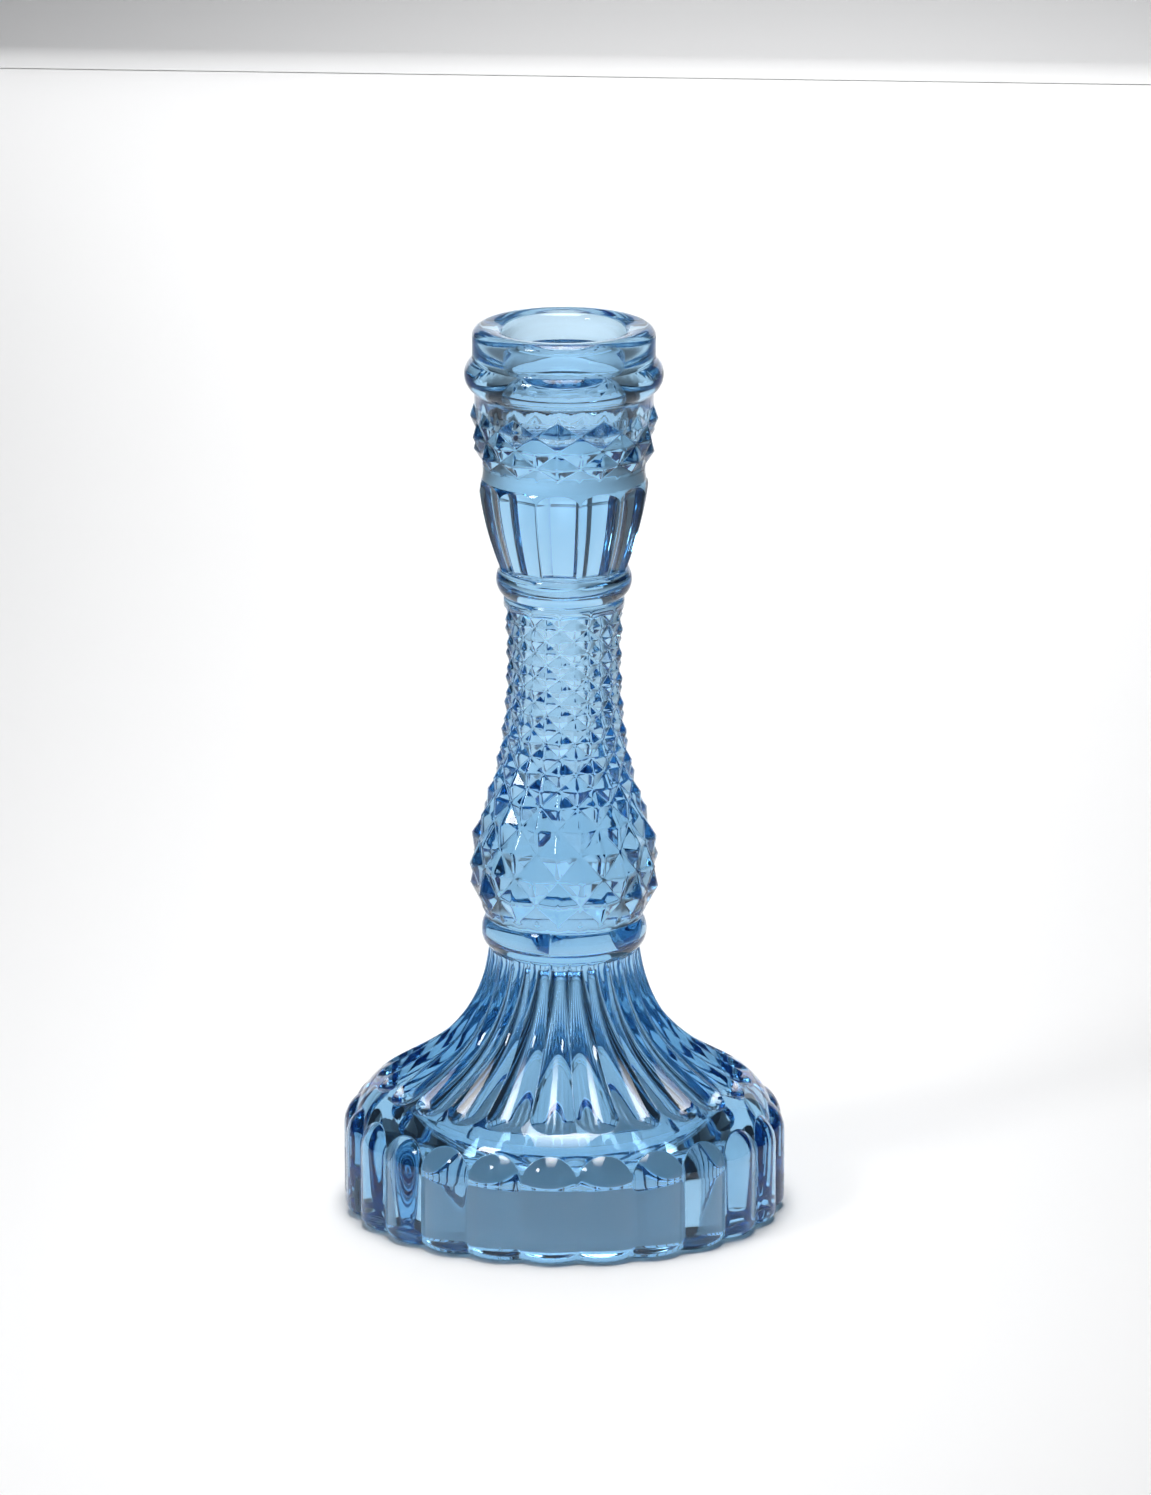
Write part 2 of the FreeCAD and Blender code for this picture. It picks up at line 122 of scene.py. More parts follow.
# Small steps in height between one kind of ring and the next.
WIDE_GAP = 0.15
NARROW_GAP = 0.1

# Skirt and foot.
LOBES = 24
HALF_LOBE = math.radians(180.0 / LOBES)
SKIRT_TOP_RADIUS = 13.9
SKIRT_FOOT_RADIUS = 35.0
SKIRT_UPPER_POLE = (15.8, 33.4)
SKIRT_LOWER_POLE = (25.0, 29.2)
FLUTE_DEPTH_RATIO = 0.2
FLUTE_END_RADIUS = 31.4
FLUTE_START_SHARE = 0.35
FLUTE_FADE = 1.0
LOBE_CURVE = 7.6
CUSP_SOFTNESS = math.radians(0.45)
LOBE_REACH = LOBE_CREST_RADIUS - LOBE_CURVE
SHOULDER_HEIGHT = 14.5
LOBE_TOP_CURVE = 6.4
LOBE_BOTTOM_CURVE = 2.0
SHOULDER_CURVE = 11.1
STEEPEST_ARCH = math.radians(75.0)

# Hollow under the foot.
HOLLOW_RADIUS = 30.8
HOLLOW_EDGE = 1.5
HOLLOW_SIDE = (30.1, 14.2)
HOLLOW_WAIST = (16.0, 25.5)
HOLLOW_CROWN = (4.0, 45.7)
CROWN_CENTRE_RADIUS = 1.0

# Points of a plain round ring.
ROUND_COLUMNS = 144


# ------------------------------------------------------------------------------- curves

# How far to each side of a place a path's direction is measured.
SIDE_REACH = 0.05

# How many times a search halves its range.
HALVINGS = 36


def arc(start, middle, end, count):
    """COUNT + 1 points along the circle through three points of the outline."""
    (ax, ay), (bx, by), (cx, cy) = start, middle, end
    d = 2.0 * (ax * (by - cy) + bx * (cy - ay) + cx * (ay - by))
    a2, b2, c2 = ax * ax + ay * ay, bx * bx + by * by, cx * cx + cy * cy
    ux = (a2 * (by - cy) + b2 * (cy - ay) + c2 * (ay - by)) / d
    uy = (a2 * (cx - bx) + b2 * (ax - cx) + c2 * (bx - ax)) / d
    radius = math.hypot(ax - ux, ay - uy)
    first = math.atan2(ay - uy, ax - ux)
    turn = math.remainder(math.atan2(by - uy, bx - ux) - first, math.tau)
    turn += math.remainder(math.atan2(cy - uy, cx - ux) - first - turn, math.tau)
    steps = [first + turn * i / count for i in range(count + 1)]
    return [(ux + radius * math.cos(s), uy + radius * math.sin(s)) for s in steps]


def rounded(start, corner, end, count):
    """A quarter-round easing of a right-angled corner."""
    middle = [start[k] + end[k] - corner[k] + (2.0 * corner[k] - start[k] - end[k]) * math.sqrt(0.5)
              for k in (0, 1)]
    return arc(start, middle, end, count)


def straight(start, end, count):
    return [(start[0] + (end[0] - start[0]) * i / count, start[1] + (end[1] - start[1]) * i / count)
            for i in range(count + 1)]


def bezier(poles, count):
    points = []
    for i in range(count + 1):
        t = i / count
        u = 1.0 - t
        weights = (u ** 3, 3 * u * u * t, 3 * u * t * t, t ** 3)
        points.append(tuple(sum(w * p[k] for w, p in zip(weights, poles)) for k in (0, 1)))
    return points


class Path:
    """An outline that can be read at any distance along it: point, outward direction."""

    def __init__(self, points):
        self.points = points
        self.marks = [0.0]
        for a, b in zip(points, points[1:]):
            self.marks.append(self.marks[-1] + math.dist(a, b))
        self.length = self.marks[-1]

    def at(self, distance):
        distance = min(max(distance, 0.0), self.length)
        low, high = 0, len(self.marks) - 1
        while high - low > 1:
            middle = (low + high) // 2
            if self.marks[middle] <= distance:
                low = middle
            else:
                high = middle
        a, b = self.points[low], self.points[high]
        share = (distance - self.marks[low]) / max(self.marks[high] - self.marks[low], 1e-9)
        return (a[0] + (b[0] - a[0]) * share, a[1] + (b[1] - a[1]) * share)

    def side(self, distance):
        """The unit direction out of the glass, to the right of the way the path runs down."""
        a = self.at(distance - SIDE_REACH)
        b = self.at(distance + SIDE_REACH)
        size = math.hypot(b[0] - a[0], b[1] - a[1])
        return (-(b[1] - a[1]) / size, (b[0] - a[0]) / size)


def solve(function, low, high):
    """Where a function that starts above 0 falls through it."""
    for _ in range(HALVINGS):
        middle = 0.5 * (low + high)
        if function(middle) > 0.0:
            low = middle
        else:
            high = middle
    return low


# --------------------------------------------------------------------------- ring builder

# How far in from their edges the facets start to turn, as shares of a facet's inner radius.
RIDGE_SOFTNESS = 0.5
VALLEY_SOFTNESS = 0.16

# Where a stud's edge is split beside each of its ends, as a share of its length.
EDGE_SPLIT = 0.25

# The even part of a crowded spacing. The rest of it is curved.
EVEN_SHARE = 0.3


def even_angles(count):
    return [math.tau * column / count for column in range(count)]


def crowded_angles(sectors, half_count):
    """Angles that crowd together towards the borders of each sector, where the edges are."""
    shares = []
    for step in range(half_count + 1):
        t = step / half_count
        shares.append(EVEN_SHARE * t + (1.0 - EVEN_SHARE) * math.sin(0.5 * math.pi * t))
    half = math.pi / sectors
    leans = [half * share for share in shares] + [-half * share for share in reversed(shares[1:-1])]
    return [(2.0 * half * sector + lean) % math.tau if lean >= 0.0 else 2.0 * half * (sector + 1) + lean
            for sector in range(sectors)
            for lean in leans]


def eased(count):
    """COUNT shares up to 1 that crowd together at both ends."""
    curved = 0.5 * (1.0 - EVEN_SHARE)
    return [EVEN_SHARE * step / count + curved * (1.0 - math.cos(math.pi * step / count))
            for step in range(1, count + 1)]


class Skin:
    """A closed surface made of rings round the Z axis, joined one after another."""

    def __init__(self):
        self.points = []
        self.angles = []
        self.faces = []
        self.edge_points = {}
        self.last = []

    def place(self, point, angle):
        self.points.append(point)
        self.angles.append(angle)
        return len(self.points) - 1

    def put(self, radius, height, angle):
        return self.place((radius * math.sin(angle), -radius * math.cos(angle), height), angle)

    def ring(self, outline, angles):
        """Adds a ring of (radius, height) points, one at each angle, and joins it to the last one."""
        self.join([self.put(radius, height, angle) for (radius, height), angle in zip(outline, angles)])

    def join(self, ring):
        if len(self.last) > 1 and [self.angles[p] for p in self.last] == [self.angles[p] for p in ring]:
            for column, point in enumerate(ring):
                beside = (column + 1) % len(ring)
                self.faces.append((self.last[column], self.last[beside], ring[beside], point))
        elif self.last:
            self.zip(self.last, ring)
        self.last = ring

    def zip(self, lower, upper):
        """Joins two rings with different angles by triangles."""
        i, j = 0, 0
        rows = (lower if len(lower) > 1 else [], upper if len(upper) > 1 else [])
        while i < len(rows[0]) or j < len(rows[1]):
            next_lower = self.angle_after(rows[0], i)
            next_upper = self.angle_after(rows[1], j)
            a, c = lower[i % len(lower)], upper[j % len(upper)]
            if next_lower <= next_upper:
                i += 1
                self.faces.append((a, lower[i % len(lower)], c))
            else:
                j += 1
                self.faces.append((a, upper[j % len(upper)], c))

    def angle_after(self, ring, column):
        if column >= len(ring):
            return math.inf
        return self.angles[ring[column + 1]] if column + 1 < len(ring) else math.tau

    def lathe(self, outline, count):
        angles = even_angles(count)
        for point in outline:
            self.ring([point] * count, angles)

    def near(self, a, b):
        """The point on the edge from A to B that is close to A."""
        if (a, b) not in self.edge_points:
            place = Vector(self.points[a]).lerp(Vector(self.points[b]), EDGE_SPLIT)
            turn = math.remainder(self.angles[b] - self.angles[a], math.tau)
            self.edge_points[a, b] = self.place(tuple(place), self.angles[a] + EDGE_SPLIT * turn)
        return self.edge_points[a, b]

    def split_ring(self, corners):
        """The ring through some corners, with the split points of the edges between them."""
        ring = []
        for column, corner in enumerate(corners):
            beside = corners[(column + 1) % len(corners)]
            ring += [corner, self.near(corner, beside), self.near(beside, corner)]
        self.angles[ring[-1]] %= math.tau
        return ring

    def facet(self, tip, right, left):
        """A flat facet from a stud's tip to two crossings, with margins that shade as rounded."""
        corners = (tip, right, left)
        places = [Vector(self.points[c]) for c in corners]
        sides = [(places[(i + 1) % 3] - places[i]) for i in range(3)]
        area = sides[0].cross(sides[2]).length
        inner_radius = area / sum(side.length for side in sides)
        ridge, valley = RIDGE_SOFTNESS * inner_radius, VALLEY_SOFTNESS * inner_radius
        margins = (ridge, valley, ridge)
        inner = []
        for i in range(3):
            ahead, behind = sides[i].normalized(), -sides[i - 1].normalized()
            slant = ahead.cross(behind).length
            shift = ahead * (margins[i - 1] / slant) + behind * (margins[i] / slant)
            inner.append(self.place(tuple(places[i] + shift), self.angles[corners[i]]))
        self.faces.append(tuple(inner))
        for i in range(3):
            a, b, c = corners[i], corners[(i + 1) % 3], corners[i - 1]
            self.faces.append((self.near(a, b), self.near(b, a), inner[(i + 1) % 3], inner[i]))
            self.faces.append((a, self.near(a, b), inner[i], self.near(a, c)))

    def studs(self, levels):
        """Rows of four-sided studs. A level is (height, radius of the points, radius of the crossings)."""
        angles = even_angles(STUD_COLUMNS)
        lower = []
        for index, (height, outer, valley) in enumerate(levels):
            upper = []
            for column, angle in enumerate(angles):
                radius = valley if (column + index) % 2 == 0 else outer
                upper.append(self.put(radius, height, angle))
            if index == 0:
                self.join(self.split_ring(upper))
            for column in range(STUD_COLUMNS if index else 0):
                beside = (column + 1) % STUD_COLUMNS
                a, b, c, d = lower[column], lower[beside], upper[beside], upper[column]
                if (column + index) % 2 == 1:
                    self.facet(b, c, a)
                    self.facet(d, a, c)
                else:
                    self.facet(a, b, d)
                    self.facet(c, d, b)
            lower = upper
        self.last = self.split_ring(lower)

    def finish(self, name):
        mesh = bpy.data.meshes.new(name)
        mesh.from_pydata([(x * MM, y * MM, z * MM) for x, y, z in self.points], [], self.faces)
        mesh.validate()
        for polygon in mesh.polygons:
            polygon.use_smooth = True
        piece = bpy.data.objects.new(name, mesh)
        bpy.context.scene.collection.objects.link(piece)
        return piece


CUP_ANGLES = crowded_angles(CUP_FLUTES, 10)
FOOT_ANGLES = crowded_angles(LOBES, 10)


# ------------------------------------------------------------------------------ foot

def lobe_radius(lean, size):
    """The radius of a lobe's wall, LEAN radians from its middle, where the lobe's radius is SIZE."""
    lean = HALF_LOBE - math.hypot(HALF_LOBE - abs(lean), CUSP_SOFTNESS)
    return LOBE_REACH * math.cos(lean) + math.sqrt(size ** 2 - (LOBE_REACH * math.sin(lean)) ** 2)


# The radius of the line where two lobes would meet if it weren't softened.
CUSP_RADIUS = (LOBE_REACH * math.cos(HALF_LOBE)
               + math.sqrt(LOBE_CURVE ** 2 - (LOBE_REACH * math.sin(HALF_LOBE)) ** 2))


def shoulder_point(angle):
    return (CUSP_RADIUS - SHOULDER_CURVE + SHOULDER_CURVE * math.cos(angle),
            SHOULDER_HEIGHT + SHOULDER_CURVE * math.sin(angle))


def lobe_top(lean, angle):
    size = LOBE_CURVE - LOBE_TOP_CURVE + LOBE_TOP_CURVE * math.cos(angle)
    return (lobe_radius(lean, size), SHOULDER_HEIGHT + LOBE_TOP_CURVE * math.sin(angle))


def arch_angle(lean):
    """Where the lobe's rounded top meets the smooth shoulder, as an angle of the lobe's top."""

    def clear(angle):
        radius, height = lobe_top(lean, angle)
        rise = height - SHOULDER_HEIGHT
        return radius - (CUSP_RADIUS - SHOULDER_CURVE + math.sqrt(SHOULDER_CURVE ** 2 - rise ** 2))

    return solve(clear, 0.0, STEEPEST_ARCH)


def foot_rings(skin):
    """From the hollow's edge over the resting face and up the lobes to their arched tops."""
    leans = [math.remainder(angle, 2.0 * HALF_LOBE) for angle in FOOT_ANGLES]
    edge = LOBE_CURVE - LOBE_BOTTOM_CURVE
    inner = HOLLOW_RADIUS + HOLLOW_EDGE
    for share in (0.0, 0.5, 1.0):
        skin.ring([(inner + (lobe_radius(lean, edge) - inner) * share, 0.0) for lean in leans], FOOT_ANGLES)
    for step in range(1, 9):
        turn = math.radians(90.0 * step / 8)
        size = edge + LOBE_BOTTOM_CURVE * math.sin(turn)
        height = LOBE_BOTTOM_CURVE * (1.0 - math.cos(turn))
        skin.ring([(lobe_radius(lean, size), height) for lean in leans], FOOT_ANGLES)
    for step in range(1, 5):
        height = LOBE_BOTTOM_CURVE + (SHOULDER_HEIGHT - LOBE_BOTTOM_CURVE) * step / 4
        skin.ring([(lobe_radius(lean, LOBE_CURVE), height) for lean in leans], FOOT_ANGLES)
    ends = [arch_angle(lean) for lean in leans]
    for share in eased(12):
        skin.ring([lobe_top(lean, end * share) for lean, end in zip(leans, ends)], FOOT_ANGLES)
    return leans, [math.asin(min(1.0, LOBE_TOP_CURVE * math.sin(end) / SHOULDER_CURVE)) for end in ends]


# ------------------------------------------------------------------------------ skirt

SHOULDER_TOP_ANGLE = math.acos((SKIRT_FOOT_RADIUS - CUSP_RADIUS + SHOULDER_CURVE) / SHOULDER_CURVE)
SKIRT_FOOT = shoulder_point(SHOULDER_TOP_ANGLE)
SKIRT_POLES = [(SKIRT_TOP_RADIUS, SKIRT_TOP), SKIRT_UPPER_POLE, SKIRT_LOWER_POLE, SKIRT_FOOT]


def skirt_rings(skin, leans, arch_angles):
    """The smooth shoulder from the lobes up, then the thumb ends and flutes up to the collar."""
    curve = bezier(SKIRT_POLES, 160)
    shoulder = [shoulder_point(SHOULDER_TOP_ANGLE * (1.0 - i / 60)) for i in range(1, 61)]
    path = Path(curve + shoulder)
    skirt_length = Path(curve).length
    flute_length = solve(lambda s: FLUTE_END_RADIUS - path.at(s)[0], 0.0, skirt_length)
    half_width = FLUTE_END_RADIUS * HALF_LOBE

    def depth(lean, distance):
        """How far a flute is sunk. It starts shallow at the collar and ends in a round thumb end."""
        radius = path.at(min(distance, flute_length))[0]
        full = 2.0 * radius * HALF_LOBE * FLUTE_DEPTH_RATIO
        across = path.at(distance)[0] * abs(lean) / (radius * HALF_LOBE)
        beyond = max(0.0, distance - flute_length) / half_width
        lead = min(1.0, FLUTE_START_SHARE + distance / FLUTE_FADE)
        return full * lead * max(0.0, 1.0 - across ** 2 - beyond ** 2)

    def thumb_end(lean):
        def inside(beyond):
            across = path.at(flute_length + beyond)[0] * abs(lean) / half_width
            return 1.0 - across ** 2 - (beyond / half_width) ** 2
        return flute_length + solve(inside, 0.0, half_width)

    def point(lean, distance):
        radius, height = path.at(distance)
        out = path.side(distance)
        sunk = depth(lean, distance)
        return (radius - out[0] * sunk, height - out[1] * sunk)

    thumbs = [thumb_end(lean) for lean in leans]
    lobes = [skirt_length + (SHOULDER_TOP_ANGLE - angle) * SHOULDER_CURVE for angle in arch_angles]
    for share in eased(16):
        skin.ring([path.at(low + (high - low) * share) for low, high in zip(lobes, thumbs)], FOOT_ANGLES)
    for share in eased(12):
        skin.ring([point(lean, end + (flute_length - end) * share) for lean, end in zip(leans, thumbs)],
                  FOOT_ANGLES)
    steps = 36
    for step in range(1, steps + 1):
        distance = flute_length * (1.0 - step / steps)
        skin.ring([point(lean, distance) for lean in leans], FOOT_ANGLES)


# ------------------------------------------------------------------------------ stem

def smooth_curve(points):
    """A radius at any height from a smooth curve through (radius, height) points, top down."""
    heights = [p[1] for p in points]
    radii = [p[0] for p in points]
    last = len(points) - 1
    slopes = []
    for i in range(last + 1):
        a, b = max(i - 1, 0), min(i + 1, last)
        slopes.append((radii[b] - radii[a]) / (heights[b] - heights[a]))

    def radius_at(height):
        i = 0
        while i < last - 1 and height < heights[i + 1]:
            i += 1
        span = heights[i + 1] - heights[i]
        t = (height - heights[i]) / span
        h00 = 2 * t ** 3 - 3 * t ** 2 + 1
        h10 = t ** 3 - 2 * t ** 2 + t
        h01 = -2 * t ** 3 + 3 * t ** 2
        h11 = t ** 3 - t ** 2
        return h00 * radii[i] + h10 * span * slopes[i] + h01 * radii[i + 1] + h11 * span * slopes[i + 1]

    return radius_at


# Outline over the studs' points, from the upper collar down to the lower one.
STEM_OUTLINE = smooth_curve([
    (11.1, 114.6), (10.75, 106.0), (11.1, 95.5), (12.4, 86.0), (14.15, 79.3),
    (15.6, 75.3), (17.1, 70.8), (17.75, 66.1), (17.4, 61.2), (15.3, 57.4)])
BULB_LEVELS = [57.4, 61.2, 66.1, 70.8, 75.3]
STUD_PITCH = 2.33
EVEN_ROWS = 7
GROWING_ROWS = 7
ROW_GROWTH = 1.039
WAIST_RISE = 0.85
BULB_RISE = 1.35
SWELL_TOP = 96.0
SWELL_LENGTH = 26.0


def stem_heights():
    pitches = [STUD_PITCH] * EVEN_ROWS
    pitches += [STUD_PITCH * ROW_GROWTH ** (row + 1) for row in range(GROWING_ROWS)]
    fit = (WAIST_TOP - WAIST_BOTTOM) / sum(pitches)
    heights = BULB_LEVELS + [WAIST_BOTTOM]
    for pitch in reversed(pitches):
        heights.append(heights[-1] + pitch * fit)
    return heights


def stem_levels():
    levels = []
    for index, height in enumerate(stem_heights()):
        outer = STEM_OUTLINE(height)
        share = min(1.0, max(0.0, (SWELL_TOP - height) / SWELL_LENGTH))
        rise = WAIST_RISE + (BULB_RISE - WAIST_RISE) * share
        levels.append((height, outer, outer - rise if index else outer))
    return levels


# Height, radius of the crossings, rise of the points.
BAND_LEVELS = [(141.5, 15.05, 0.0), (143.8, 15.45, 1.15), (146.9, 15.85, 1.15), (150.05, 16.15, 1.15),
               (152.6, NECK_RADIUS, 0.0)]


# ------------------------------------------------------------------------------ cup

def cup_rings(skin):
    """The twelve flutes from the upper collar up to their arched tops, and on to the groove."""
    wall = arc((CUP_FOOT_RADIUS, CUP_BOTTOM), CUP_BELLY, CUP_SHOULDER, 60)
    wall += arc(CUP_SHOULDER, CUP_ROUNDING, (GROOVE_RADIUS + GROOVE_CURVE, BAND_BOTTOM), 12)[1:]
    path = Path(wall)
    half = math.pi / CUP_FLUTES
    flute_length = path.length - CUP_FLUTE_END
    leans = [math.remainder(angle, 2.0 * half) / half for angle in CUP_ANGLES]

    def point(lean, distance):
        radius, height = path.at(distance)
        beyond = max(0.0, distance - flute_length) / CUP_FLUTE_END
        full = CUP_FLUTE_DEPTH_RATIO * radius
        sunk = full * max(0.0, 1.0 - lean ** 2 - beyond ** 2)
        return (radius - sunk, height)

    arches = [flute_length + CUP_FLUTE_END * math.sqrt(max(0.0, 1.0 - lean ** 2)) for lean in leans]
    steps = 26
    for step in range(steps + 1):
        distance = flute_length * step / steps
        skin.ring([point(lean, distance) for lean in leans], CUP_ANGLES)
    for share in eased(10):
        skin.ring([point(lean, flute_length + (end - flute_length) * share)
                   for lean, end in zip(leans, arches)], CUP_ANGLES)
    for share in eased(7):
        skin.ring([path.at(end + (path.length - end) * share) for end in arches], CUP_ANGLES)


# ------------------------------------------------------------------------------ whole skin

def make_candlestick():
    skin = Skin()

    edge = HOLLOW_RADIUS + HOLLOW_EDGE
    skin.ring([(0.0, HOLLOW_CROWN[1])], [0.0])
    skin.lathe(straight((CROWN_CENTRE_RADIUS, HOLLOW_CROWN[1]), HOLLOW_CROWN, 4)[:-1], ROUND_COLUMNS)
    skin.lathe(arc(HOLLOW_CROWN, HOLLOW_WAIST, HOLLOW_SIDE, 20), ROUND_COLUMNS)
    skin.lathe(straight(HOLLOW_SIDE, (HOLLOW_RADIUS, HOLLOW_EDGE), 4)[1:], ROUND_COLUMNS)
    skin.lathe(rounded((HOLLOW_RADIUS, HOLLOW_EDGE), (HOLLOW_RADIUS, 0.0), (edge, 0.0), 6)[1:-1],
               ROUND_COLUMNS)

    leans, arch_angles = foot_rings(skin)
    skirt_rings(skin, leans, arch_angles)

    collar_crest = (LOWER_COLLAR_RADIUS, LOWER_COLLAR_CREST)
    collar = arc((SKIRT_TOP_RADIUS, SKIRT_TOP), collar_crest, (BULB_FOOT_RADIUS, BULB_BOTTOM), 18)
    skin.lathe(collar, ROUND_COLUMNS)
    skin.lathe([(BULB_NECK_RADIUS, BULB_LEVELS[0] - WIDE_GAP)], ROUND_COLUMNS)
    skin.studs(stem_levels())

    step_top = (UPPER_STEP_RADIUS, UPPER_STEP_TOP)
    skin.lathe([(UPPER_STEP_FOOT_RADIUS, WAIST_TOP + NARROW_GAP), step_top], ROUND_COLUMNS)
    collar_crest = (UPPER_COLLAR_RADIUS, UPPER_COLLAR_CREST)
    skin.lathe(arc(step_top, collar_crest, (CUP_FOOT_RADIUS, CUP_BOTTOM), 14), ROUND_COLUMNS)
    cup_rings(skin)

    groove_foot = (GROOVE_RADIUS + GROOVE_CURVE, BAND_BOTTOM + NARROW_GAP)
    groove_middle = (GROOVE_RADIUS - GROOVE_CURVE, GROOVE_HEIGHT)
    skin.lathe(arc(groove_foot, groove_middle, (GROOVE_RADIUS, GROOVE_TOP), 8), ROUND_COLUMNS)
    skin.studs([(height, valley + rise, valley) for height, valley, rise in BAND_LEVELS])

    skin.lathe([(NECK_RADIUS, BAND_LEVELS[-1][0] + WIDE_GAP)], ROUND_COLUMNS)
    bead = arc((NECK_RADIUS, BEAD_BOTTOM), (BEAD_RADIUS, BEAD_CREST), (LIP_RADIUS, LIP_BOTTOM), 20)
    skin.lathe(bead, ROUND_COLUMNS)

    top = TOTAL_HEIGHT
    crest = LIP_RADIUS - LIP_ROUNDING
    mouth = BORE_RADIUS + MOUTH_EASE
    dish = top - LIP_DISH
    lip = straight((LIP_RADIUS, LIP_BOTTOM), (LIP_RADIUS, top - LIP_ROUNDING), 4)[1:]
    lip += rounded((LIP_RADIUS, top - LIP_ROUNDING), (LIP_RADIUS, top), (crest, top), 10)[1:]
    lip += arc((crest, top), (0.5 * (crest + mouth), top - 0.25 * LIP_DISH), (mouth, dish), 6)[1:]
    lip += rounded((mouth, dish), (BORE_RADIUS, dish), (BORE_RADIUS, top - MOUTH_DROP), 8)[1:]
    floor = top - BORE_DEPTH
    lip += straight((BORE_RADIUS, top - MOUTH_DROP), (BORE_RADIUS, floor + FLOOR_CORNER), 8)[1:]
    lip += rounded((BORE_RADIUS, floor + FLOOR_CORNER), (BORE_RADIUS, floor),
                   (BORE_RADIUS - FLOOR_CORNER, floor), 6)[1:]
    lip += straight((BORE_RADIUS - FLOOR_CORNER, floor), (FLOOR_CENTRE_RADIUS, floor), 5)[1:]
    skin.lathe(lip, ROUND_COLUMNS)
    skin.ring([(0.0, floor)], [0.0])
    return skin.finish("pressed_glass_candlestick")


# ------------------------------------------------------------------------------ material

def glass_material():
    """Clear blue pressed glass: tinted by depth, fire-polished, with faint cooling ripples."""
    material = bpy.data.materials.new("blue_pressed_glass")
    material.use_nodes = True
    tree = material.node_tree
    shader = tree.nodes["Principled BSDF"]
    output = tree.nodes["Material Output"]
    shader.inputs["Base Color"].default_value = (0.64, 0.79, 0.90, 1.0)
    shader.inputs["Transmission Weight"].default_value = 1.0
    shader.inputs["Roughness"].default_value = 0.015
    shader.inputs["IOR"].default_value = 1.5

    place = tree.nodes.new("ShaderNodeTexCoord")
    ripple = tree.nodes.new("ShaderNodeTexNoise")
    ripple.inputs["Scale"].default_value = 95.0
    ripple.inputs["Detail"].default_value = 1.5
    bump = tree.nodes.new("ShaderNodeBump")
    bump.inputs["Strength"].default_value = 0.25
    bump.inputs["Distance"].default_value = 0.00012
    tree.links.new(place.outputs["Object"], ripple.inputs["Vector"])
    tree.links.new(ripple.outputs["Fac"], bump.inputs["Height"])
    tree.links.new(bump.outputs["Normal"], shader.inputs["Normal"])

    depth = tree.nodes.new("ShaderNodeVolumeAbsorption")
    depth.inputs["Color"].default_value = (0.0, 0.52, 0.8, 1.0)
    depth.inputs["Density"].default_value = 32.0
    tree.links.new(depth.outputs["Volume"], output.inputs["Volume"])
    return material


# ------------------------------------------------------------------------------ stage

# Height of the middle of the object, in metres. The light and the camera are placed round it.
MIDDLE_HEIGHT = 0.08


def paper_material(name):
    """Matt pale paper."""
    material = bpy.data.materials.new(name)
    material.use_nodes = True
    shader = material.node_tree.nodes["Principled BSDF"]
    shader.inputs["Base Color"].default_value = (0.92, 0.92, 0.92, 1.0)
    shader.inputs["Roughness"].default_value = 0.9
    shader.inputs["Specular IOR Level"].default_value = 0.0
    return material


def pale_sheet(name, outline, half):
    """A sheet of pale paper, HALF metres to each side of X = 0, along an outline of (Y, Z) points."""
    points = []
    faces = []
    for y, z in outline:
        points += [(-half, y, z), (half, y, z)]
    for i in range(len(outline) - 1):
        faces.append((2 * i, 2 * i + 1, 2 * i + 3, 2 * i + 2))
    mesh = bpy.data.meshes.new(name)
    mesh.from_pydata(points, [], faces)
    for polygon in mesh.polygons:
        polygon.use_smooth = True
    sheet = bpy.data.objects.new(name, mesh)
    bpy.context.scene.collection.objects.link(sheet)
    sheet.data.materials.append(paper_material(name))


def make_stage():
    """A wide pale floor just under the object, and a narrower backdrop that curves up behind it."""
    floor = -0.0003
    reach = 5.0
    pale_sheet("pale_floor", [(-reach, floor), (reach, floor)], reach)
    far = 1.6
    rise = 2.6
    bend = 0.6
    backdrop_half = 1.3
    low = floor + 0.0002
    turns = [math.radians(degrees) for degrees in range(0, 100, 10)]
    outline = [(far - bend + bend * math.sin(turn), low + bend - bend * math.cos(turn)) for turn in turns]
    pale_sheet("pale_backdrop", outline + [(far, rise)], backdrop_half)


def aim(thing, target):
    direction = Vector(target) - thing.location
    thing.rotation_euler = direction.to_track_quat("-Z", "Y").to_euler()


def soft_box(name, width, height, power, spread=180.0):
    """A rectangular light whose beam is SPREAD degrees wide. It faces straight down until it's turned."""
    light = bpy.data.lights.new(name, "AREA")
    light.shape = "RECTANGLE"
    light.size = width
    light.size_y = height
    light.energy = power
    light.spread = math.radians(spread)
    thing = bpy.data.objects.new(name, light)
    bpy.context.scene.collection.objects.link(thing)
    return thing


def make_key_light():
    """A small soft box in front of the object, high on its left, aimed at its middle."""
    azimuth = math.radians(-46.0)
    elevation = math.radians(40.0)
    distance = 1.2
    key = soft_box("key_box", 0.2, 0.2, 2.6)
    key.location = (distance * math.cos(elevation) * math.sin(azimuth),
                    -distance * math.cos(elevation) * math.cos(azimuth),
                    distance * math.sin(elevation) + MIDDLE_HEIGHT)
    aim(key, (0.0, 0.0, MIDDLE_HEIGHT))


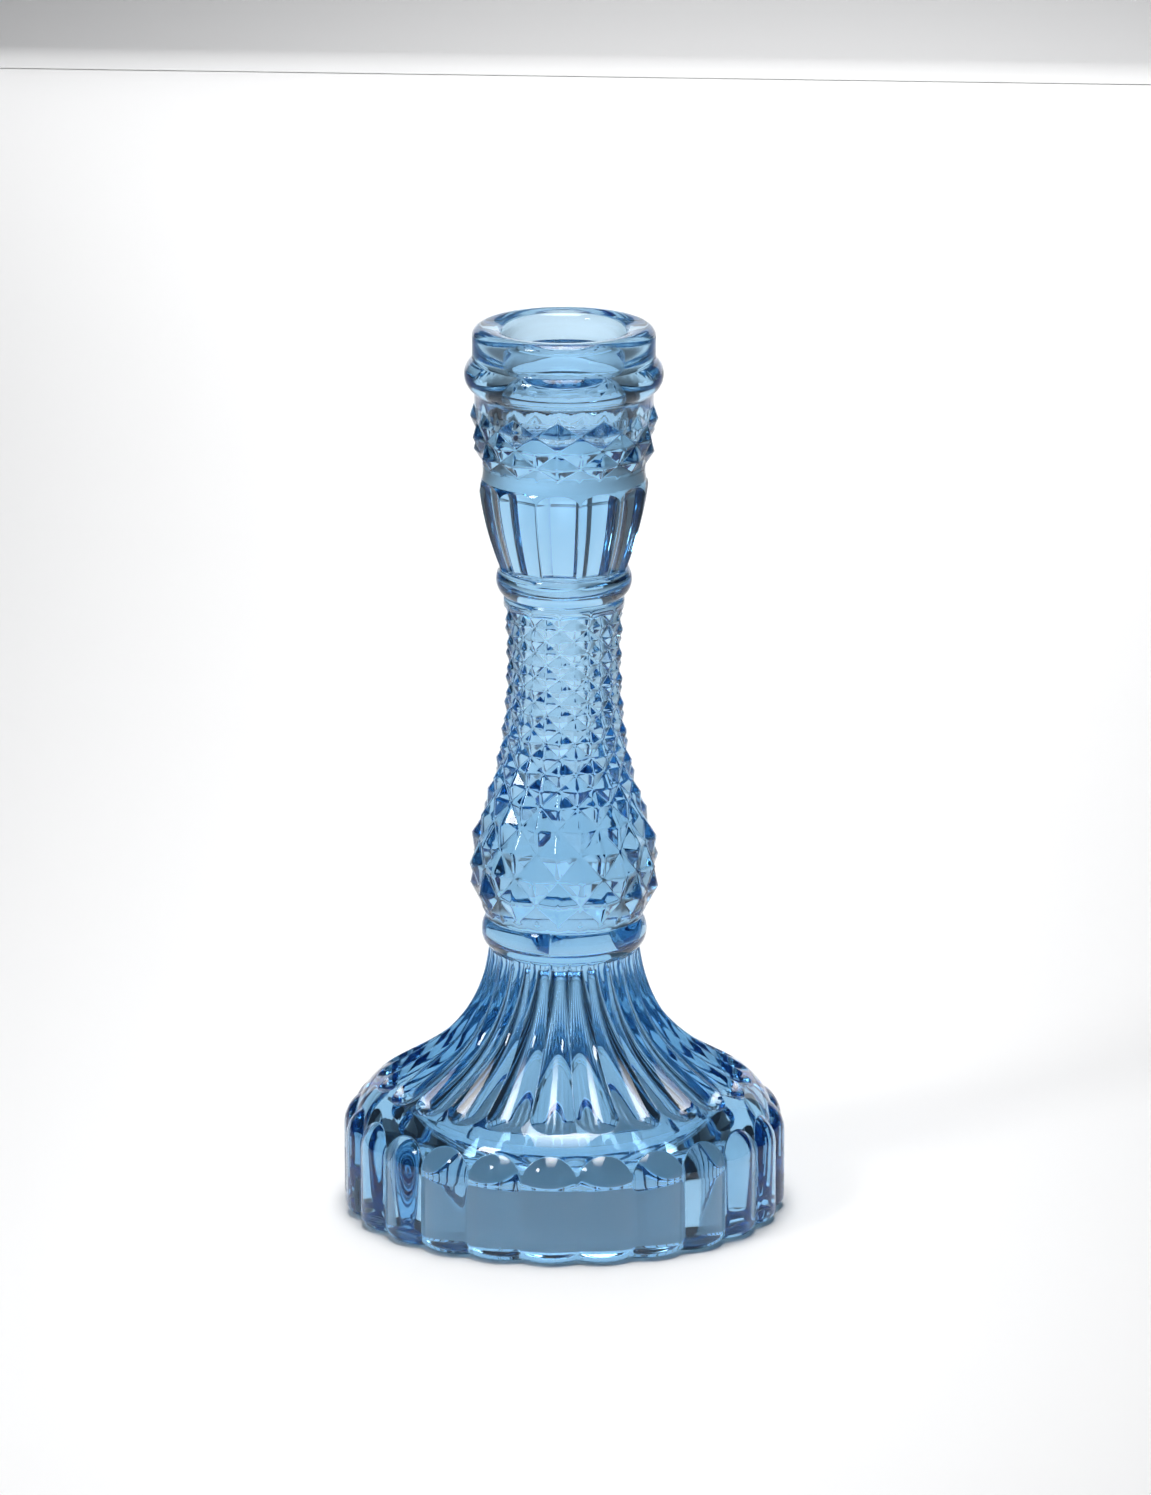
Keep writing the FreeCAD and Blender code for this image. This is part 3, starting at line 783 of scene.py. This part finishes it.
def make_light():
    world = bpy.data.worlds.new("studio")
    world.use_nodes = True
    world.node_tree.nodes["Background"].inputs["Color"].default_value = (0.03, 0.033, 0.04, 1.0)
    world.node_tree.nodes["Background"].inputs["Strength"].default_value = 1.0
    bpy.context.scene.world = world
    make_key_light()

    # A strip of light along Y on the floor, from in front of the object to behind it.
    runway = soft_box("runway_strip", 0.25, 1.5, 1.8, 66.0)
    runway.location = (0.0, 0.35, 0.62)

    # A bright wall behind the object that faces it. It shows in the glass and lights the floor.
    wall = soft_box("bright_wall", 1.15, 0.5, 1.85)
    wall.location = (0.0, 1.02, 0.27)
    wall.rotation_euler = (math.radians(-90.0), 0.0, 0.0)

    ceiling = soft_box("ceiling_grid", 6.0, 6.0, 12.0, 30.0)
    ceiling.location = (0.0, 0.0, 2.6)


def make_camera():
    data = bpy.data.cameras.new("camera")
    data.sensor_fit = "HORIZONTAL"
    data.sensor_width = 36.0
    data.lens = 378.0
    data.clip_end = 20.0
    camera = bpy.data.objects.new("camera", data)
    bpy.context.scene.collection.objects.link(camera)
    azimuth = math.radians(4.0)
    elevation = math.radians(15.4)
    distance = 2.23
    middle = Vector((0.0, 0.0, MIDDLE_HEIGHT))
    camera.location = middle + distance * Vector((math.cos(elevation) * math.sin(azimuth),
                                                  -math.cos(elevation) * math.cos(azimuth),
                                                  math.sin(elevation)))
    across = 0.0021
    above = 0.0073
    aim(camera, middle + Vector((across * math.cos(azimuth), across * math.sin(azimuth), above)))
    bpy.context.scene.camera = camera


# ------------------------------------------------------------------------------ assembly

glass = glass_material()
candlestick = make_candlestick()
candlestick.data.materials.append(glass)
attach(candlestick, ROOT)
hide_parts(*SECTIONS)

make_stage()
make_light()
make_camera()

scene = bpy.context.scene
scene.view_settings.view_transform = "Standard"
scene.cycles.max_bounces = 32
scene.cycles.transmission_bounces = 32
scene.cycles.glossy_bounces = 16
scene.cycles.transparent_max_bounces = 16
scene.cycles.caustics_reflective = False
scene.cycles.caustics_refractive = True
